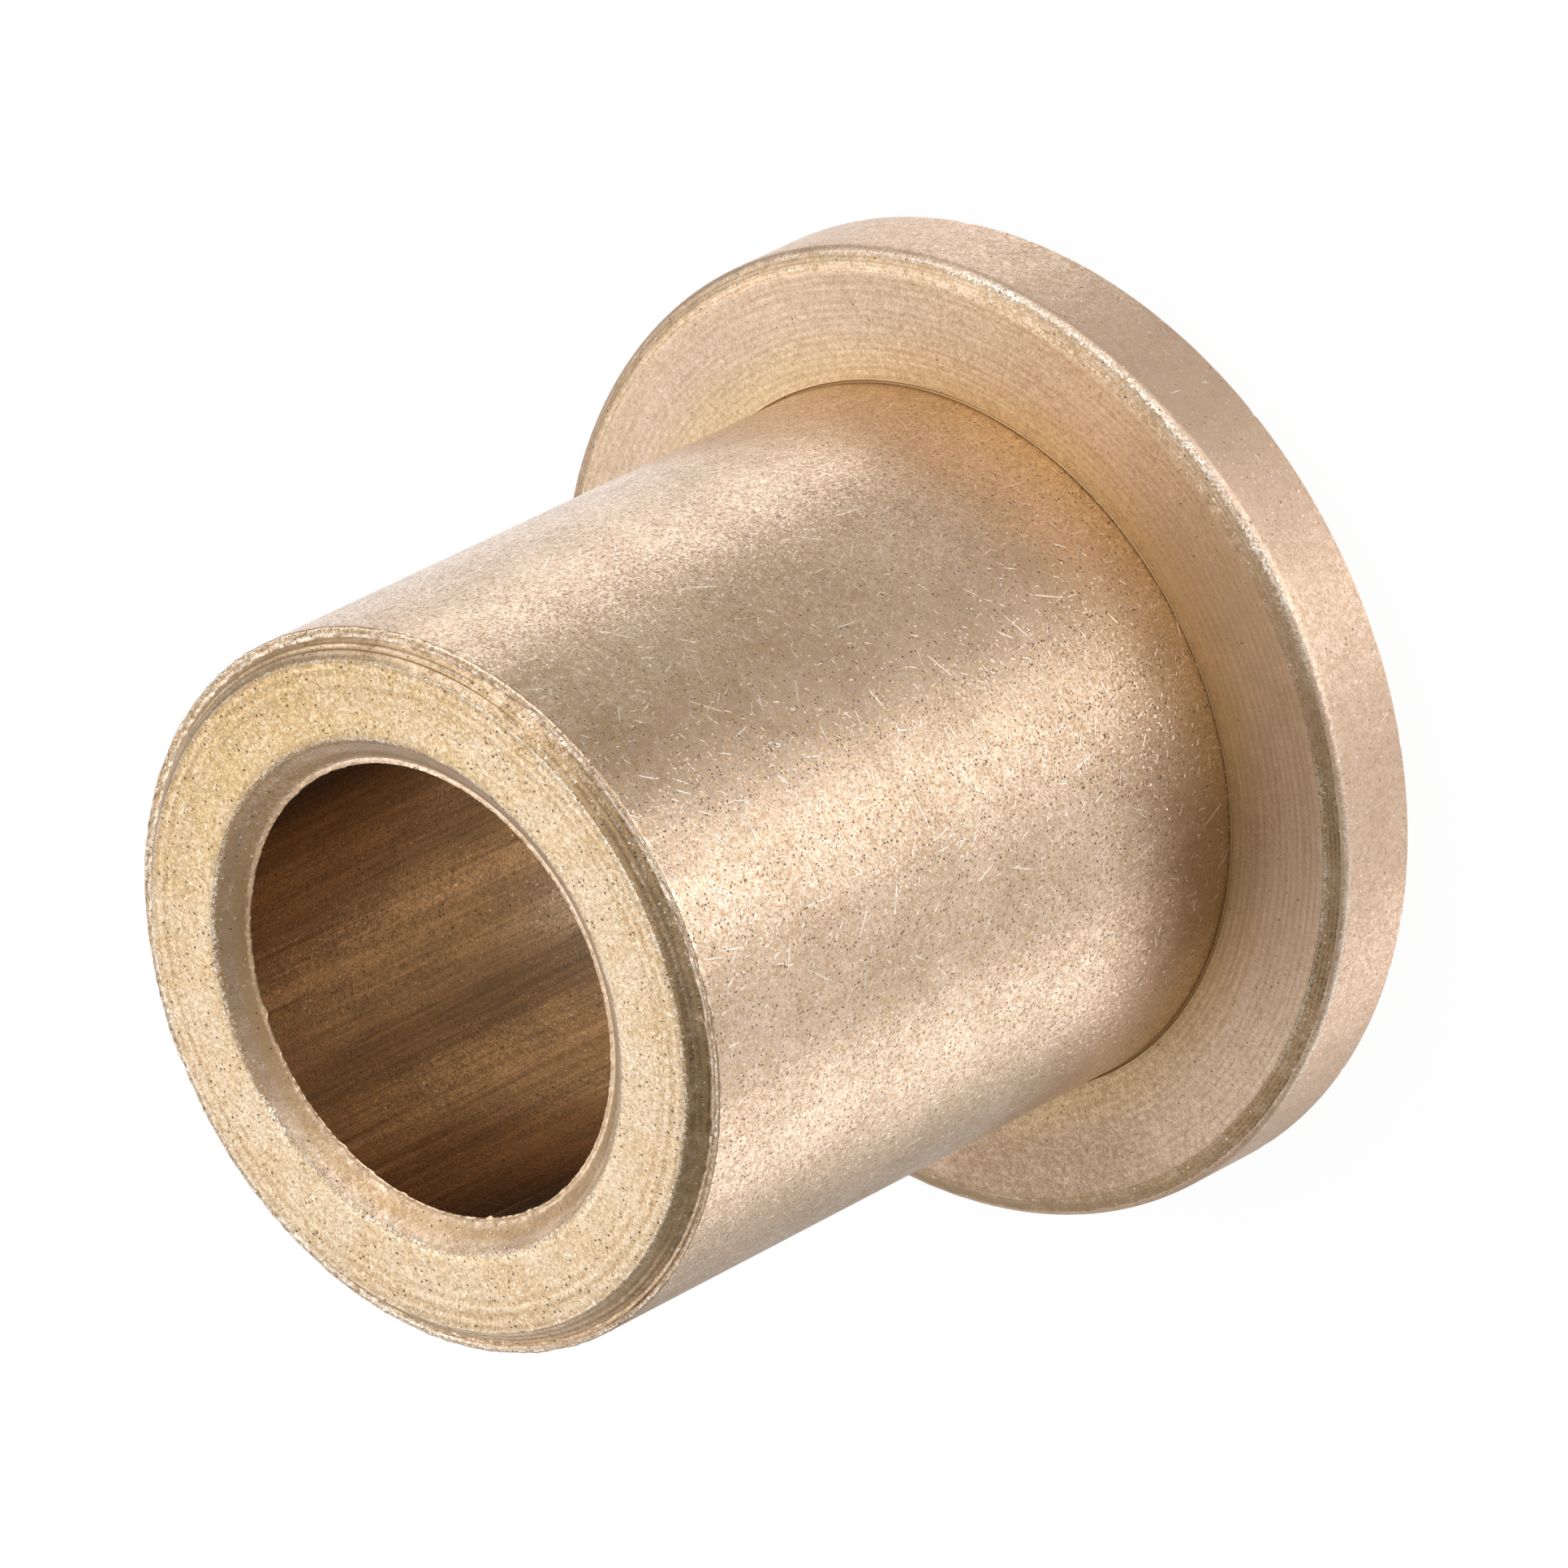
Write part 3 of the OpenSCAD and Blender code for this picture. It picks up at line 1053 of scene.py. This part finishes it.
class BUSHING_OT_set_stage(bpy.types.Operator):
    """Lay the floor, set the camera and hang the lamps"""

    bl_idname = "bushing.set_stage"
    bl_label = "Set Stage"

    def execute(self, context):
        self.floor()
        self.camera()
        self.world()
        self.lamps()
        return {"FINISHED"}

    def floor(self):
        """A white floor that the metal doesn't reflect and that the low lamps shine through."""
        deselect_all()
        bpy.ops.mesh.primitive_plane_add(size=FLOOR_SIDE, location=(0, 0, 0))
        floor = bpy.context.active_object
        floor.name = floor.data.name = "floor"
        floor.visible_glossy = False
        floor.visible_shadow = False
        material = bpy.data.materials.new("white floor")
        material.use_nodes = True
        g = Graph(material.node_tree)
        shader = material.node_tree.nodes["Principled BSDF"]
        shader.inputs["Base Color"].default_value = (FLOOR_GREY, FLOOR_GREY, FLOOR_GREY, 1)
        shader.inputs["Roughness"].default_value = 1.0
        shader.inputs["Specular IOR Level"].default_value = 0.0
        white = g.add("ShaderNodeEmission", {"Color": (1, 1, 1, 1), "Strength": 1.0})
        camera_ray = g.add("ShaderNodeLightPath").outputs["Is Camera Ray"]
        seen = g.times(camera_ray, FLOOR_WHITE)
        both = g.add("ShaderNodeMixShader")
        g.feed(both.inputs[0], seen)
        g.feed(both.inputs[1], shader.outputs[0])
        g.feed(both.inputs[2], white.outputs[0])
        g.feed(material.node_tree.nodes["Material Output"].inputs["Surface"], both.outputs[0])
        floor.data.materials.append(material)

    def camera(self):
        """The photograph's view."""
        direction = Vector((0, -math.cos(CAMERA_ELEVATION), math.sin(CAMERA_ELEVATION)))
        camera = bpy.data.objects.new("camera", bpy.data.cameras.new("camera"))
        bpy.context.collection.objects.link(camera)
        upright = Euler((math.pi / 2 - CAMERA_ELEVATION, 0, 0)).to_matrix().to_4x4()
        rolled = upright @ Matrix.Rotation(CAMERA_ROLL, 4, "Z")
        camera.matrix_world = Matrix.Translation(LOOK_AT + direction * CAMERA_DISTANCE) @ rolled
        camera.data.lens = CAMERA_LENS
        camera.data.sensor_width = CAMERA_SENSOR
        camera.data.clip_start = 0.01
        bpy.context.scene.camera = camera

    def world(self):
        """White for the camera, and dim room light for the part."""
        world = bpy.data.worlds.new("studio")
        bpy.context.scene.world = world
        world.use_nodes = True
        g = Graph(world.node_tree)
        seen = g.add("ShaderNodeLightPath").outputs["Is Camera Ray"]
        background = world.node_tree.nodes["Background"]
        tint = g.mix(seen, (*ROOM_TINT, 1), (1, 1, 1, 1))
        g.feed(background.inputs["Color"], tint)
        g.feed(background.inputs["Strength"], g.fade(seen, 0.0, 1.0, ROOM_LIGHT, 1.0))

    def lamps(self):
        """Round softboxes that face the part, their power set so that each looks as bright as
        its value says."""
        middle = Vector((0, 0, sizes().length / 2))
        for name, (azimuth, elevation, width, height, brightness) in SOFTBOXES.items():
            around, above = math.radians(azimuth), math.radians(elevation)
            direction = Vector((
                math.sin(around) * math.cos(above), -math.cos(around) * math.cos(above),
                math.sin(above)))
            lamp = bpy.data.lights.new(name, "AREA")
            lamp.shape = "ELLIPSE"
            lamp.size = 2 * LAMP_DISTANCE * math.tan(math.radians(width / 2))
            lamp.size_y = 2 * LAMP_DISTANCE * math.tan(math.radians(height / 2))
            area = math.pi / 4 * lamp.size * lamp.size_y
            lamp.energy = math.pi * area * brightness
            lamp.color = LAMP_TINT
            box = bpy.data.objects.new(name, lamp)
            box.location = middle + direction * LAMP_DISTANCE
            box.rotation_euler = direction.to_track_quat("Z", "Y").to_euler()
            box.visible_camera = False
            bpy.context.collection.objects.link(box)


CLASSES.append(BUSHING_OT_set_stage)


class BUSHING_PT_panel(bpy.types.Panel):
    """The bushing's steps, sizes and colours, in the sidebar"""

    bl_idname = "BUSHING_PT_panel"
    bl_label = "Flanged Bushing"
    bl_space_type = "VIEW_3D"
    bl_region_type = "UI"
    bl_category = "Bushing"

    def draw(self, context):
        for settings in (context.scene.bushing_sizes, context.scene.bronze_look):
            for name in settings.bl_rna.properties.keys():
                if name not in ("rna_type", "name"):
                    self.layout.prop(settings, name)
        for operator in ("turn_body", "wear_rims", "finish_surfaces", "set_stage"):
            self.layout.operator(f"bushing.{operator}")


CLASSES.append(BUSHING_PT_panel)


def register():
    for each in CLASSES:
        bpy.utils.register_class(each)
    bpy.types.Scene.bushing_sizes = bpy.props.PointerProperty(type=BushingSizes)
    bpy.types.Scene.bronze_look = bpy.props.PointerProperty(type=BronzeLook)


def unregister():
    del bpy.types.Scene.bronze_look
    del bpy.types.Scene.bushing_sizes
    for each in reversed(CLASSES):
        bpy.utils.unregister_class(each)


def main():
    register()
    bpy.context.scene.view_settings.view_transform = "Standard"
    bpy.ops.bushing.turn_body()
    bpy.ops.bushing.wear_rims()
    bpy.ops.bushing.finish_surfaces()
    bpy.ops.bushing.set_stage()


if __name__ == "__main__":
    main()
